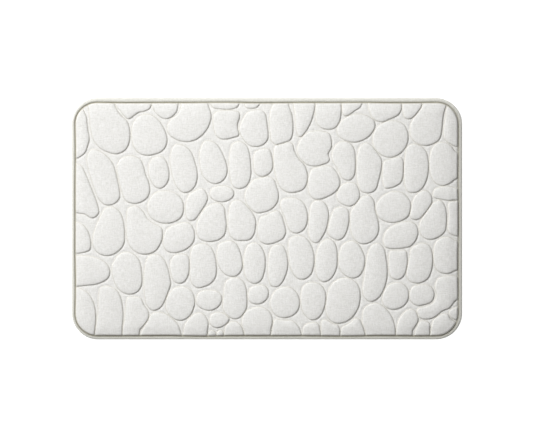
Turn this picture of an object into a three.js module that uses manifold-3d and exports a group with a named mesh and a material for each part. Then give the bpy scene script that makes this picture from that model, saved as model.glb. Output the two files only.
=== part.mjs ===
// Memory-foam bath mat: an embossed plush face, a foam core and a non-slip back, bound round the edge.
// Millimetres, +Z up. The mat lies on z = 0 with its centre over the origin and its long side along X.
import * as THREE from "three";
import { mergeVertices } from "three/addons/utils/BufferGeometryUtils.js";
import Module from "manifold-3d";

const wasm = await Module();
wasm.setup();

// ---- Driving dimensions --------------------------------------------------------------------------
const LENGTH = 800; // nominal 80 cm
const WIDTH = 495; // nominal 50 cm, less what the cutting and the binding take up
const CORNER = 54; // outer corner radius
const CORNER_STEPS = 8; // flats in each corner arc
const GAP = 0.3; // clearance between neighbouring solids

const EDGE_LIFT = 0.6; // the grips hold the bound edge this far off the floor
const TAPE_THICK = 0.9; // binding tape
const TAPE_COVER = 8.5; // how much of the top face and of the back the binding covers
const TAPE_ROUND = 3; // rounding of the bound edge
const ROUND_STEPS = 4; // flats in that rounding

const CLOTH_THICK = 0.8; // knitted backing cloth
const FOAM_THICK = 5.4; // foam between the cloth and the bottom of the embossing
const FOAM_PINCHED = 2.3; // the same foam inside the binding
const FOAM_INSET = 1.4; // the foam ends this far inside the outline
const CLOTH_INSET = 2.6; // the plush and the backing cloth end this far inside it
const PLUSH_THICK = 2; // pile and ground cloth together
const PLUSH_PINCHED = 1.2; // the same plush inside the binding
const SHOULDER = 8; // width of the slope from the pinched edge up to the full thickness

const PEBBLE_RISE = 4.6; // pebble crown above the pressed ground
const PEBBLE_SLOPE = 3; // how far a pebble's side leans in from its foot to its crown
const PEBBLE_SIDES = 16;

const SEAM_INSET = 6.4; // seam line, measured from the outline
const THREAD_WIDE = 0.8;
const THREAD_DEEP = 0.5;
const SEAM_SINK = 0.4; // how deep the stitches pull into the tape

const LABEL = { x: 250, wide: 34, long: 22, thick: 0.4, lift: 0.5 };

// ---- Levels, from the floor up -------------------------------------------------------------------
const tapeBottom = EDGE_LIFT;
const gripTop = tapeBottom + TAPE_THICK; // the grip layer fills the back inside the binding
const clothBottom = gripTop + GAP;
const clothTop = clothBottom + CLOTH_THICK;
const foamBottom = clothTop + GAP;
const pinchedFoamTop = foamBottom + FOAM_PINCHED;
const foamTop = foamBottom + FOAM_THICK;
const pinchedPlushBottom = pinchedFoamTop + GAP;
const pinchedPlushTop = pinchedPlushBottom + PLUSH_PINCHED;
const plushBottom = foamTop + GAP;
const groundTop = plushBottom + PLUSH_THICK;
const crownTop = groundTop + PEBBLE_RISE;
const tapeTop = pinchedPlushTop + GAP + TAPE_THICK;
const fieldInset = TAPE_COVER + GAP;

// ---- Pebbles -------------------------------------------------------------------------------------
// Each row goes once round the foot of one pebble as x, y, x, y. A closed curve runs through the points.
// Pebbles at the border run on past it and are cut off by the field's outline, as the embossing is.
const PEBBLES = [
  // left border, from the top down
  [-375, 224, -369, 205, -366, 182, -363, 163, -367, 147, -374, 132, -383, 124, -400, 120, -408, 160,
    -402, 210],
  [-396, 117, -383, 111, -373, 96, -362, 70, -351, 42, -344, 18, -346, 6, -356, 1, -370, 8, -392, 20,
    -406, 70],
  [-400, -2, -385, -7, -372, -17, -363, -33, -360, -50, -361, -62, -369, -68, -382, -69, -400, -68,
    -408, -35],
  [-400, -78, -375, -76, -355, -78, -336, -86, -324, -97, -321, -110, -326, -123, -342, -132, -362, -136,
    -402, -134],
  [-402, -140, -385, -141, -370, -149, -358, -164, -351, -185, -350, -207, -353, -232, -356, -248,
    -392, -248],
  // top left
  [-362, 240, -340, 246, -318, 240, -303, 216, -286, 199, -280, 178, -282, 155, -292, 138, -313, 132,
    -332, 139, -350, 152, -359, 175, -363, 205],
  [-314, 240, -298, 218, -286, 204, -279, 205, -265, 216, -246, 221, -238, 228, -235, 242, -275, 250],
  [-277, 175, -274, 195, -262, 209, -245, 214, -228, 207, -215, 192, -206, 173, -204, 157, -212, 140,
    -228, 132, -245, 129, -262, 134, -273, 148],
  [-236, 240, -231, 222, -220, 209, -208, 204, -196, 207, -186, 217, -181, 232, -182, 246, -210, 250],
  [-204, 190, -200, 172, -184, 161, -166, 157, -149, 160, -133, 170, -121, 186, -114, 204, -116, 222,
    -128, 236, -150, 243, -171, 240, -177, 226, -184, 211, -196, 203],
  [-368, 128, -357, 142, -340, 137, -324, 124, -314, 110, -308, 90, -303, 65, -300, 48, -305, 36, -318, 28,
    -333, 29, -342, 37, -360, 82],
  [-290, 127, -272, 128, -259, 121, -252, 106, -247, 87, -240, 69, -240, 54, -247, 40, -262, 32, -277, 31,
    -290, 38, -297, 55, -303, 80, -307, 103, -302, 119],
  [-226, 127, -213, 126, -205, 115, -200, 95, -202, 77, -210, 66, -221, 61, -232, 69, -240, 83, -243, 100,
    -239, 118],
  [-188, 151, -172, 150, -157, 139, -147, 115, -142, 90, -146, 69, -157, 56, -170, 53, -181, 60, -190, 76,
    -196, 100, -198, 130],
  [-228, 53, -208, 57, -187, 52, -174, 39, -170, 20, -177, 1, -193, -8, -208, -10, -226, -6, -239, 4,
    -245, 20, -241, 38],
  [-160, 48, -147, 57, -134, 62, -125, 54, -121, 40, -127, 27, -137, 12, -146, 0, -154, -5, -163, -1,
    -167, 15, -166, 34],
  // bottom left
  [-283, 22, -270, 26, -258, 21, -250, 9, -241, -4, -228, -12, -215, -20, -213, -32, -218, -52, -228, -66,
    -245, -73, -260, -72, -274, -64, -284, -50, -288, -15],
  [-330, 22, -315, 24, -302, 15, -294, -3, -291, -28, -292, -50, -304, -67, -320, -75, -336, -75, -350, -66,
    -357, -50, -354, -28, -344, -2],
  [-304, -74, -288, -68, -272, -73, -260, -88, -256, -110, -256, -135, -264, -149, -280, -155, -295, -151,
    -307, -140, -315, -120, -317, -98],
  [-240, -76, -222, -74, -209, -86, -201, -108, -197, -138, -203, -152, -210, -170, -220, -184, -233, -188,
    -243, -182, -249, -165, -252, -130, -249, -92],
  [-205, -22, -190, -13, -170, -8, -155, -12, -148, -30, -150, -47, -160, -59, -178, -68, -193, -70,
    -206, -65, -213, -50],
  [-190, -76, -175, -72, -163, -75, -158, -93, -160, -113, -168, -128, -180, -133, -191, -127, -197, -110,
    -198, -90],
  [-190, -142, -173, -139, -157, -145, -148, -163, -149, -180, -158, -199, -173, -208, -188, -206,
    -200, -197, -207, -182, -206, -165],
  [-285, -162, -272, -160, -262, -158, -253, -174, -243, -189, -242, -203, -254, -221, -266, -235,
    -272, -248, -296, -248, -291, -205],
  [-340, -141, -325, -138, -311, -143, -300, -159, -295, -182, -294, -205, -297, -228, -300, -248,
    -348, -248, -346, -195],
  [-236, -195, -222, -191, -208, -194, -193, -205, -181, -218, -174, -235, -173, -248, -268, -248,
    -260, -233, -246, -213],
  // top middle
  [-125, 240, -112, 228, -95, 224, -72, 224, -60, 229, -51, 240, -85, 248],
  [-106, 217, -85, 221, -65, 220, -54, 214, -59, 200, -60, 185, -58, 170, -72, 165, -88, 162, -101, 166,
    -110, 190],
  [-50, 240, -42, 227, -30, 225, -15, 230, 2, 238, -20, 248],
  [-40, 217, -25, 222, -10, 222, -3, 213, 0, 198, 2, 180, 2, 163, -8, 151, -24, 147, -38, 151, -50, 165,
    -57, 183],
  [10, 228, 22, 237, 40, 236, 48, 222, 53, 200, 53, 180, 50, 163, 38, 157, 14, 151, 8, 165, 5, 205],
  [56, 243, 78, 250, 99, 243, 97, 222, 92, 203, 84, 185, 75, 173, 66, 167, 60, 178, 57, 210],
  [102, 243, 125, 250, 151, 243, 152, 218, 149, 200, 141, 187, 127, 182, 112, 185, 101, 196, 99, 215],
  [-128, 158, -112, 158, -100, 149, -89, 129, -82, 108, -82, 90, -92, 76, -107, 71, -120, 76, -131, 88,
    -137, 108, -138, 135],
  [-70, 153, -56, 158, -44, 152, -36, 135, -33, 110, -33, 88, -40, 69, -55, 61, -69, 66, -75, 82, -78, 120],
  [-24, 137, -10, 142, 3, 143, 9, 132, 12, 115, 10, 99, 0, 89, -12, 86, -23, 92, -28, 115],
  [-26, 80, -12, 83, 6, 86, 14, 80, 20, 64, 24, 48, 21, 33, 10, 20, -7, 13, -22, 12, -35, 22, -44, 36,
    -45, 52, -38, 67],
  [17, 148, 32, 153, 48, 156, 55, 141, 65, 122, 79, 106, 83, 88, 79, 65, 66, 56, 48, 53, 34, 57, 24, 70,
    17, 90, 13, 125],
  [73, 168, 88, 178, 108, 179, 126, 175, 132, 160, 132, 147, 125, 131, 127, 117, 112, 110, 93, 107,
    79, 112, 67, 124, 61, 142],
  [92, 101, 108, 106, 128, 108, 140, 98, 148, 83, 149, 68, 140, 55, 124, 45, 105, 39, 92, 42, 85, 55,
    84, 78],
  [-112, 62, -95, 67, -78, 65, -68, 56, -69, 45, -79, 37, -93, 34, -107, 37, -117, 47],
  // bottom middle
  [-112, 30, -95, 31, -88, 24, -85, 5, -83, -15, -87, -33, -100, -44, -118, -47, -134, -44, -143, -33,
    -144, -12, -136, 8, -124, 24],
  [-72, 34, -58, 38, -46, 31, -33, 16, -24, 2, -23, -12, -27, -33, -36, -43, -51, -45, -67, -43, -77, -32,
    -80, 0],
  [-13, 2, 3, 9, 18, 17, 27, 12, 34, -5, 38, -22, 36, -37, 22, -47, 5, -52, -10, -50, -18, -38, -20, -18],
  [30, 38, 45, 43, 62, 41, 75, 31, 82, 15, 83, -3, 78, -19, 65, -29, 53, -29, 44, -20, 39, -5, 33, 10,
    27, 25],
  [92, 32, 105, 38, 118, 32, 125, 18, 126, 2, 122, -19, 113, -38, 101, -50, 91, -46, 85, -33, 85, -10,
    87, 15],
  [-152, -58, -136, -51, -120, -54, -109, -68, -104, -90, -104, -116, -112, -130, -128, -139, -144, -141,
    -154, -132, -158, -95],
  [-98, -52, -84, -46, -69, -46, -59, -58, -52, -78, -50, -98, -58, -114, -72, -119, -88, -112, -98, -98,
    -103, -76],
  [-40, -56, -27, -49, -14, -55, -5, -72, -3, -92, -6, -112, -13, -127, -26, -133, -39, -127, -46, -112,
    -48, -85],
  [8, -60, 20, -53, 32, -55, 40, -72, 43, -92, 39, -114, 29, -133, 15, -141, 6, -133, 2, -112, 3, -80],
  [46, -42, 60, -35, 76, -37, 88, -50, 96, -72, 96, -95, 89, -115, 76, -124, 62, -122, 51, -108, 45, -85,
    43, -60],
  [106, -55, 117, -44, 130, -42, 140, -52, 144, -75, 143, -98, 136, -116, 125, -127, 112, -129, 102, -118,
    99, -85],
  [-136, -149, -118, -146, -102, -149, -92, -160, -95, -174, -106, -185, -119, -188, -133, -184,
    -143, -176, -145, -162],
  [-84, -128, -70, -121, -54, -123, -44, -137, -41, -160, -42, -184, -52, -199, -66, -206, -80, -199,
    -89, -189, -89, -158],
  [-34, -142, -20, -136, -5, -137, 3, -147, 2, -160, -7, -171, -22, -175, -35, -170, -39, -156],
  [17, -147, 32, -140, 48, -141, 61, -152, 67, -170, 63, -188, 51, -199, 35, -203, 20, -199, 10, -188,
    6, -170],
  [74, -138, 88, -130, 104, -132, 116, -142, 121, -160, 118, -180, 109, -199, 95, -208, 82, -202, 72, -188,
    69, -160],
  [-150, -196, -138, -192, -128, -197, -120, -213, -123, -230, -131, -240, -138, -248, -168, -248,
    -171, -228, -163, -208],
  [-114, -196, -100, -191, -88, -194, -77, -204, -80, -212, -92, -221, -106, -223, -117, -214],
  [-117, -229, -103, -230, -93, -228, -86, -240, -90, -248, -126, -248],
  [-86, -222, -74, -211, -60, -212, -52, -222, -42, -236, -38, -248, -82, -248],
  [-44, -190, -28, -182, -10, -181, 3, -188, 11, -203, 10, -220, 2, -238, -8, -248, -30, -248, -44, -233,
    -52, -214],
  [16, -206, 32, -208, 50, -208, 60, -215, 69, -231, 72, -248, 10, -248, 11, -225],
  [76, -219, 90, -213, 104, -214, 108, -226, 112, -248, 75, -248],
  // top right
  [143, 185, 152, 200, 170, 211, 190, 214, 208, 209, 221, 197, 220, 184, 207, 167, 190, 158, 175, 156,
    157, 161, 145, 171],
  [155, 243, 178, 250, 202, 243, 198, 234, 182, 222, 165, 211, 157, 211],
  [209, 243, 240, 250, 274, 243, 274, 220, 267, 211, 250, 203, 232, 197, 221, 202, 212, 212],
  [228, 190, 243, 198, 262, 200, 279, 193, 287, 180, 289, 163, 284, 147, 271, 132, 253, 125, 236, 129,
    221, 142, 216, 158, 218, 175],
  [277, 243, 298, 250, 322, 243, 315, 227, 303, 211, 292, 204, 283, 205, 278, 218],
  [326, 242, 345, 248, 364, 242, 361, 212, 358, 188, 355, 166, 342, 154, 325, 149, 308, 153, 296, 163,
    292, 180, 297, 202, 312, 221],
  [368, 238, 366, 215, 362, 190, 361, 168, 370, 156, 388, 146, 402, 143, 405, 190, 392, 228],
  [140, 150, 153, 158, 168, 155, 178, 143, 181, 120, 180, 95, 174, 81, 161, 78, 152, 86, 144, 102,
    134, 119, 133, 136],
  [190, 148, 203, 155, 214, 149, 225, 135, 235, 118, 233, 98, 228, 76, 220, 57, 206, 52, 193, 56, 185, 75,
    183, 115],
  [240, 118, 254, 122, 268, 126, 277, 124, 279, 105, 278, 85, 273, 73, 257, 64, 242, 62, 237, 74,
    236, 100],
  [287, 147, 301, 153, 315, 148, 325, 138, 330, 118, 330, 95, 323, 71, 311, 56, 298, 53, 287, 56, 281, 72,
    281, 115],
  [338, 145, 349, 155, 362, 156, 377, 148, 387, 133, 390, 110, 388, 90, 380, 76, 367, 69, 353, 68, 341, 76,
    334, 92, 332, 120],
  [155, 70, 168, 74, 181, 71, 188, 58, 190, 46, 184, 34, 173, 26, 160, 27, 148, 34, 142, 45, 146, 59],
  [232, 42, 246, 52, 262, 56, 278, 52, 290, 40, 295, 24, 291, 8, 280, -2, 261, -8, 243, -6, 228, 3,
    222, 20, 225, 33],
  [300, 42, 309, 52, 322, 58, 333, 52, 338, 38, 333, 24, 322, 9, 310, -1, 299, -2, 292, 5, 294, 22],
  [343, 60, 362, 66, 382, 64, 391, 55, 391, 42, 376, 37, 357, 39, 342, 43, 339, 51],
  // bottom right
  [138, 20, 152, 24, 165, 19, 168, 3, 166, -16, 158, -36, 148, -44, 134, -40, 125, -32, 125, -18, 130, 2],
  [182, 30, 193, 43, 208, 48, 218, 38, 221, 20, 226, 2, 229, -18, 226, -34, 215, -46, 200, -52, 184, -48,
    174, -34, 170, -12, 171, 14],
  [246, -22, 262, -12, 282, -6, 301, -9, 309, -24, 306, -41, 294, -56, 272, -61, 250, -61, 240, -56,
    238, -38],
  [342, 34, 353, 38, 363, 28, 367, 12, 367, -6, 364, -26, 352, -37, 336, -43, 322, -40, 313, -29,
    311, -14, 318, 3, 330, 20],
  [372, 33, 386, 36, 402, 36, 402, -38, 389, -36, 377, -32, 370, -25, 371, 5],
  [152, -57, 164, -47, 178, -46, 191, -58, 200, -80, 199, -98, 190, -116, 177, -122, 163, -118, 151, -107,
    146, -88],
  [212, -57, 224, -50, 236, -55, 242, -72, 246, -98, 245, -124, 238, -147, 226, -164, 212, -170,
    200, -163, 195, -145, 198, -120, 206, -70],
  [252, -66, 268, -66, 284, -66, 287, -82, 286, -100, 279, -118, 267, -125, 254, -120, 249, -100],
  [294, -62, 307, -53, 322, -50, 333, -57, 339, -76, 338, -98, 331, -120, 318, -130, 302, -132, 288, -124,
    285, -112, 291, -80],
  [342, -55, 350, -43, 365, -37, 380, -41, 389, -52, 391, -80, 388, -102, 376, -111, 360, -112, 348, -106,
    341, -90],
  [128, -140, 140, -127, 156, -121, 174, -124, 187, -137, 191, -160, 186, -184, 172, -204, 155, -213,
    140, -214, 127, -206, 120, -186, 122, -160],
  [243, -142, 256, -132, 273, -131, 286, -141, 290, -156, 286, -171, 274, -182, 256, -186, 242, -180,
    235, -167],
  [297, -140, 312, -135, 330, -136, 340, -145, 342, -158, 336, -170, 322, -176, 307, -178, 294, -169,
    291, -155],
  [350, -122, 368, -117, 384, -117, 390, -130, 390, -150, 384, -169, 370, -185, 352, -192, 342, -202,
    325, -206, 311, -202, 305, -191, 311, -182, 330, -178, 341, -170, 346, -157, 343, -136],
  [372, -190, 381, -182, 392, -168, 402, -172, 402, -210, 388, -209, 377, -202],
  [340, -207, 353, -198, 366, -193, 374, -203, 384, -214, 390, -223, 385, -236, 370, -246, 334, -246,
    336, -225],
  [314, -209, 326, -210, 333, -214, 332, -230, 330, -246, 298, -246, 303, -230],
  [276, -196, 288, -186, 300, -186, 308, -197, 309, -209, 300, -225, 292, -238, 286, -246, 263, -246,
    264, -230, 267, -212],
  [198, -184, 210, -175, 226, -173, 240, -181, 252, -195, 260, -213, 260, -248, 212, -248, 203, -232,
    195, -212],
  [153, -223, 168, -214, 184, -202, 192, -212, 198, -226, 206, -248, 152, -248],
  [112, -208, 122, -207, 133, -214, 147, -220, 149, -232, 149, -248, 116, -248, 111, -228],
];

// ---- Shape helpers -------------------------------------------------------------------------------

// The mat's outline moved in by inset, counterclockwise, as a ring of points at height z.
function outline(inset, z) {
  const radius = CORNER - inset;
  const ring = [];
  [[1, 1], [-1, 1], [-1, -1], [1, -1]].forEach(([sx, sy], corner) => {
    for (let i = 0; i <= CORNER_STEPS; i++) {
      const turn = (corner + i / CORNER_STEPS) * (Math.PI / 2);
      const x = sx * (LENGTH / 2 - CORNER) + radius * Math.cos(turn);
      const y = sy * (WIDTH / 2 - CORNER) + radius * Math.sin(turn);
      ring.push([x, y, z]);
    }
  });
  return ring;
}

// Joins rings of equal length with quads. Open stacks get a flat cap at each end, the first one facing down.
// A closed stack joins its last ring back to its first.
function skin(rings, closed) {
  const count = rings[0].length;
  const index = [];
  const spans = closed ? rings.length : rings.length - 1;
  for (let r = 0; r < spans; r++) {
    const low = r * count;
    const high = ((r + 1) % rings.length) * count;
    for (let i = 0; i < count; i++) {
      const next = (i + 1) % count;
      index.push(low + i, low + next, high + next, low + i, high + next, high + i);
    }
  }
  if (!closed) {
    const flat = (ring) => ring.map(([x, y]) => new THREE.Vector2(x, y));
    const last = (rings.length - 1) * count;
    THREE.ShapeUtils.triangulateShape(flat(rings[0]), []).forEach(([a, b, c]) => index.push(a, c, b));
    THREE.ShapeUtils.triangulateShape(flat(rings[rings.length - 1]), []).forEach(([a, b, c]) => {
      index.push(last + a, last + b, last + c);
    });
  }
  const geometry = new THREE.BufferGeometry();
  geometry.setAttribute("position", new THREE.Float32BufferAttribute(rings.flat(2), 3));
  geometry.setIndex(index);
  return geometry;
}

// A stack of outlines given as [inset, z] pairs from the bottom cap to the top cap.
function layer(steps) {
  return skin(steps.map(([inset, z]) => outline(inset, z)), false);
}

// A band that runs round the mat, its section given as [inset, z] pairs in a closed loop.
function band(section) {
  return skin(section.map(([inset, z]) => outline(inset, z)), true);
}

function solid(geometry) {
  const bare = geometry.clone();
  bare.deleteAttribute("normal");
  bare.deleteAttribute("uv");
  const merged = mergeVertices(bare, 1e-4);
  return new wasm.Manifold(new wasm.Mesh({
    numProp: 3,
    vertProperties: merged.attributes.position.array,
    triVerts: new Uint32Array(merged.index.array),
  }));
}

function geometryOf(manifold) {
  const mesh = manifold.getMesh();
  const geometry = new THREE.BufferGeometry();
  geometry.setAttribute("position", new THREE.BufferAttribute(new Float32Array(mesh.vertProperties), 3));
  geometry.setIndex(new THREE.BufferAttribute(new Uint32Array(mesh.triVerts), 1));
  return geometry;
}

const part = new THREE.Group();
part.name = "bath_mat";

function node(name, shape, colour, roughness) {
  const geometry = shape.isBufferGeometry ? shape : geometryOf(shape);
  geometry.computeVertexNormals();
  const material = new THREE.MeshStandardMaterial({ color: colour, roughness, flatShading: true });
  const mesh = new THREE.Mesh(geometry, material);
  mesh.name = name;
  part.add(mesh);
}

// ---- Plush face ----------------------------------------------------------------------------------
// A sheet that steps down into the binding, with the pebbles standing on it. Everything above the sheet is
// kept inside one envelope, so the pebbles at the border slope down to the binding too.
const pinch = fieldInset + SHOULDER;
const plushSheet = solid(layer([
  [pinch, plushBottom],
  [fieldInset, pinchedPlushBottom],
  [CLOTH_INSET, pinchedPlushBottom],
  [CLOTH_INSET, pinchedPlushTop],
  [fieldInset, pinchedPlushTop],
  [pinch, groundTop],
]));
const envelope = solid(layer([
  [pinch, plushBottom],
  [fieldInset, pinchedPlushBottom],
  [fieldInset, tapeTop - 0.4],
  [fieldInset + 2.2, groundTop],
  [fieldInset + 6, crownTop],
]));

function pebble(row) {
  const guide = [];
  for (let i = 0; i < row.length; i += 2) guide.push(new THREE.Vector3(row[i], row[i + 1], 0));
  const curve = new THREE.CatmullRomCurve3(guide, true, "centripetal");
  let foot = curve.getSpacedPoints(PEBBLE_SIDES).slice(0, PEBBLE_SIDES);
  if (THREE.ShapeUtils.area(foot) < 0) foot = foot.reverse();
  const crown = foot.map((p, i) => {
    const before = foot[(i + PEBBLE_SIDES - 1) % PEBBLE_SIDES];
    const after = foot[(i + 1) % PEBBLE_SIDES];
    const along = after.clone().sub(before).normalize();
    return [p.x - along.y * PEBBLE_SLOPE, p.y + along.x * PEBBLE_SLOPE, crownTop];
  });
  const at = (z) => foot.map((p) => [p.x, p.y, z]);
  return solid(skin([at(pinchedPlushBottom - 1), at(groundTop - 0.5), crown], false));
}

const pebbles = wasm.Manifold.union(PEBBLES.map(pebble)).intersect(envelope);
node("plush_top", plushSheet.add(pebbles), 0xeceae4, 0.95);

// ---- Foam core -----------------------------------------------------------------------------------
node("foam_core", layer([
  [FOAM_INSET, foamBottom],
  [FOAM_INSET, pinchedFoamTop],
  [fieldInset, pinchedFoamTop],
  [pinch, foamTop],
]), 0xe9e2c4, 0.9);

// ---- Back: knitted cloth, and the moulded grip layer inside the binding --------------------------
node("backing_cloth", layer([
  [CLOTH_INSET, clothBottom],
  [CLOTH_INSET, clothTop],
]), 0xd9d8d2, 0.9);

const labelEdge = -WIDTH / 2 + fieldInset;
const labelPocket = solid(new THREE.BoxGeometry(
  LABEL.wide + 2 * GAP,
  LABEL.long + 2 * GAP,
  2 * (LABEL.lift + LABEL.thick + GAP),
).translate(LABEL.x, labelEdge + LABEL.long / 2, 0));
const gripSlab = solid(layer([
  [fieldInset, 0],
  [fieldInset, gripTop],
]));
node("grip_layer", gripSlab.subtract(labelPocket), 0xcfcfca, 0.6);

// ---- Care label, held by its top edge at the binding on the back ---------------------------------
node("care_label", new THREE.BoxGeometry(LABEL.wide, LABEL.long, LABEL.thick).translate(
  LABEL.x,
  labelEdge + LABEL.long / 2,
  LABEL.lift + LABEL.thick / 2,
), 0xf4f4f2, 0.7);

// ---- Edge binding: one tape folded round all the layers ------------------------------------------
// The section starts at the inner end of the lower leg, goes round the outside and comes back inside.
const seamFrom = SEAM_INSET - THREAD_WIDE / 2 - GAP;
const seamTo = SEAM_INSET + THREAD_WIDE / 2 + GAP;

function bend(radius, centreInset, centreZ, fromTurn, toTurn) {
  const points = [];
  for (let i = 0; i <= ROUND_STEPS; i++) {
    const turn = THREE.MathUtils.degToRad(fromTurn + ((toTurn - fromTurn) * i) / ROUND_STEPS);
    points.push([centreInset - radius * Math.cos(turn), centreZ + radius * Math.sin(turn)]);
  }
  return points;
}

const lowCentre = tapeBottom + TAPE_ROUND;
const highCentre = tapeTop - TAPE_ROUND;
const insideRound = TAPE_ROUND - TAPE_THICK;
const tapeSection = [
  [TAPE_COVER, tapeBottom],
  [seamTo, tapeBottom],
  [seamTo, tapeBottom + SEAM_SINK],
  [seamFrom, tapeBottom + SEAM_SINK],
  [seamFrom, tapeBottom],
  ...bend(TAPE_ROUND, TAPE_ROUND, lowCentre, -90, 0),
  ...bend(TAPE_ROUND, TAPE_ROUND, highCentre, 0, 90),
  [seamFrom, tapeTop],
  [seamFrom, tapeTop - SEAM_SINK],
  [seamTo, tapeTop - SEAM_SINK],
  [seamTo, tapeTop],
  [TAPE_COVER, tapeTop],
  [TAPE_COVER, tapeTop - TAPE_THICK],
  ...bend(insideRound, TAPE_ROUND, highCentre, 90, 0),
  ...bend(insideRound, TAPE_ROUND, lowCentre, 0, -90),
  [TAPE_COVER, gripTop],
];
node("edge_binding", band(tapeSection), 0xcfcec6, 0.85);

// ---- Seam: needle thread on the face, bobbin thread on the back ----------------------------------
function threadSection(low) {
  return [
    [SEAM_INSET + THREAD_WIDE / 2, low],
    [SEAM_INSET - THREAD_WIDE / 2, low],
    [SEAM_INSET - THREAD_WIDE / 2, low + THREAD_DEEP],
    [SEAM_INSET + THREAD_WIDE / 2, low + THREAD_DEEP],
  ];
}

node("needle_thread", band(threadSection(tapeTop - SEAM_SINK + GAP)), 0xdcdbd3, 0.8);
node("bobbin_thread", band(threadSection(tapeBottom + SEAM_SINK - GAP - THREAD_DEEP)), 0xdcdbd3, 0.8);

export default part;
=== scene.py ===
import math

import bpy
import numpy as np
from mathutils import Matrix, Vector


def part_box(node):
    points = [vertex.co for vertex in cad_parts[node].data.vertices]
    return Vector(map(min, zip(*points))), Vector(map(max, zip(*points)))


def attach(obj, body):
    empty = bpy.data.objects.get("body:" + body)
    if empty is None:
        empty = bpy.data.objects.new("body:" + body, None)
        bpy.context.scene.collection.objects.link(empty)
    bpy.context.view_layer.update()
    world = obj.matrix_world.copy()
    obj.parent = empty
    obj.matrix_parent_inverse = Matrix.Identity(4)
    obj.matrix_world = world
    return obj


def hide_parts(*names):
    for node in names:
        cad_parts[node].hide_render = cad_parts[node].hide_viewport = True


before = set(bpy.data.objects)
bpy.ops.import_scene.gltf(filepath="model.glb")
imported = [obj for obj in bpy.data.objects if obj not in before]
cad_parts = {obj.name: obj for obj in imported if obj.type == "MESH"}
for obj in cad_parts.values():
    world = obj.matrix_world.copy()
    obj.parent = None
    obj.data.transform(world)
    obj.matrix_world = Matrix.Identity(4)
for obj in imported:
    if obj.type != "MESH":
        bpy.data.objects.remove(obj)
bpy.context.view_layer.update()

MM = 0.001


# ---- Studio: a white sweep on the floor, a key light from the upper left, and a camera overhead ----
# The mat is laid out flat and lit like a product on a studio table. The key is low enough to rake across the
# pebbles, and it is near enough to leave the right end a little greyer than the left.
def linear(hex_colour):
    channels = [int(hex_colour[i : i + 2], 16) / 255 for i in (1, 3, 5)]
    light = [c / 12.92 if c <= 0.04045 else ((c + 0.055) / 1.055) ** 2.4 for c in channels]
    return (*light, 1)


def new_material(name, **sockets):
    material = bpy.data.materials.new(name)
    material.use_nodes = True
    shader = material.node_tree.nodes["Principled BSDF"]
    for socket, value in sockets.items():
        shader.inputs[socket.replace("_", " ")].default_value = value
    return material, shader


def add_node(material, kind, settings=None, inputs=None):
    """One node with its settings, and its inputs given as values or as (node, output) links."""
    node = material.node_tree.nodes.new(kind)
    for name, value in (settings or {}).items():
        setattr(node, name, value)
    for name, value in (inputs or {}).items():
        if isinstance(value, tuple) and hasattr(value[0], "outputs"):
            material.node_tree.links.new(value[0].outputs[value[1]], node.inputs[name])
        else:
            node.inputs[name].default_value = value
    return node


def connect(material, source, output, target, socket):
    material.node_tree.links.new(source.outputs[output], target.inputs[socket])


def two_tone(material, source, dark, light, low=0.0, high=1.0):
    """A colour that runs from dark to light as the source goes from low to high."""
    ramp = add_node(material, "ShaderNodeValToRGB", None, {"Fac": source})
    for element, place, colour in zip(ramp.color_ramp.elements, (low, high), (dark, light)):
        element.position = place
        element.color = linear(colour)
    return ramp


def relief_of(material, shader, source, strength, height):
    """Raises the material's surface by the source, up to this height."""
    bump = add_node(material, "ShaderNodeBump", None, {
        "Height": source, "Strength": strength, "Distance": height})
    connect(material, bump, "Normal", shader, "Normal")


def band_scale(spacing):
    """The scale of a wave texture whose bands are this far apart."""
    return 2 * math.pi / (20 * spacing)


def start_piece():
    bpy.ops.object.select_all(action="DESELECT")


def dress(piece, material, slot, *replaced):
    """Gives a finished piece its material, and ties it to the frame."""
    piece.data.materials.clear()
    piece.data.materials.append(material)
    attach(piece, "root")
    if replaced:
        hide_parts(*replaced)


start_piece()
bpy.ops.mesh.primitive_plane_add(size=12)
floor = bpy.context.object
floor.name = "studio_floor"
floor_white, floor_shader = new_material("white_sweep", Roughness=0.9)
floor_shader.inputs["Base Color"].default_value = linear("#b4b4b3")
floor_shader.inputs["Specular IOR Level"].default_value = 0.1
floor_shader.inputs["Emission Color"].default_value = (1, 1, 1, 1)
floor_shader.inputs["Emission Strength"].default_value = 0.95
floor.data.materials.append(floor_white)

key_data = bpy.data.lights.new("key_softbox", "AREA")
key_data.shape = "RECTANGLE"
key_data.size = 0.55
key_data.size_y = 0.55
key_data.energy = 302
key = bpy.data.objects.new("key_softbox", key_data)
key.location = (-3.2, 3.1, 3.75)
key.rotation_euler = (Vector((0.1, 0, 0)) - key.location).to_track_quat("-Z", "Y").to_euler()
bpy.context.scene.collection.objects.link(key)

fill_data = bpy.data.lights.new("overhead_fill", "AREA")
fill_data.size = 0.6
fill_data.energy = 1.85
fill = bpy.data.objects.new("overhead_fill", fill_data)
fill.location = (-0.08, 0.1, 0.8)
bpy.context.scene.collection.objects.link(fill)

world = bpy.data.worlds.new("soft_room")
world.use_nodes = True
world.node_tree.nodes["Background"].inputs["Color"].default_value = (1, 1, 1, 1)
world.node_tree.nodes["Background"].inputs["Strength"].default_value = 0.2
bpy.context.scene.world = world
bpy.context.scene.view_settings.view_transform = "Standard"

camera_data = bpy.data.cameras.new("overhead_camera")
CAMERA_HEIGHT = 3.2
VIEW_WIDTH = 1.091
camera_data.angle = 2 * math.atan(VIEW_WIDTH / 2 / (CAMERA_HEIGHT - 0.008))
camera = bpy.data.objects.new("overhead_camera", camera_data)
camera.location = (-0.001, 0.0023, CAMERA_HEIGHT)
bpy.context.scene.collection.objects.link(camera)
bpy.context.scene.camera = camera


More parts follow.
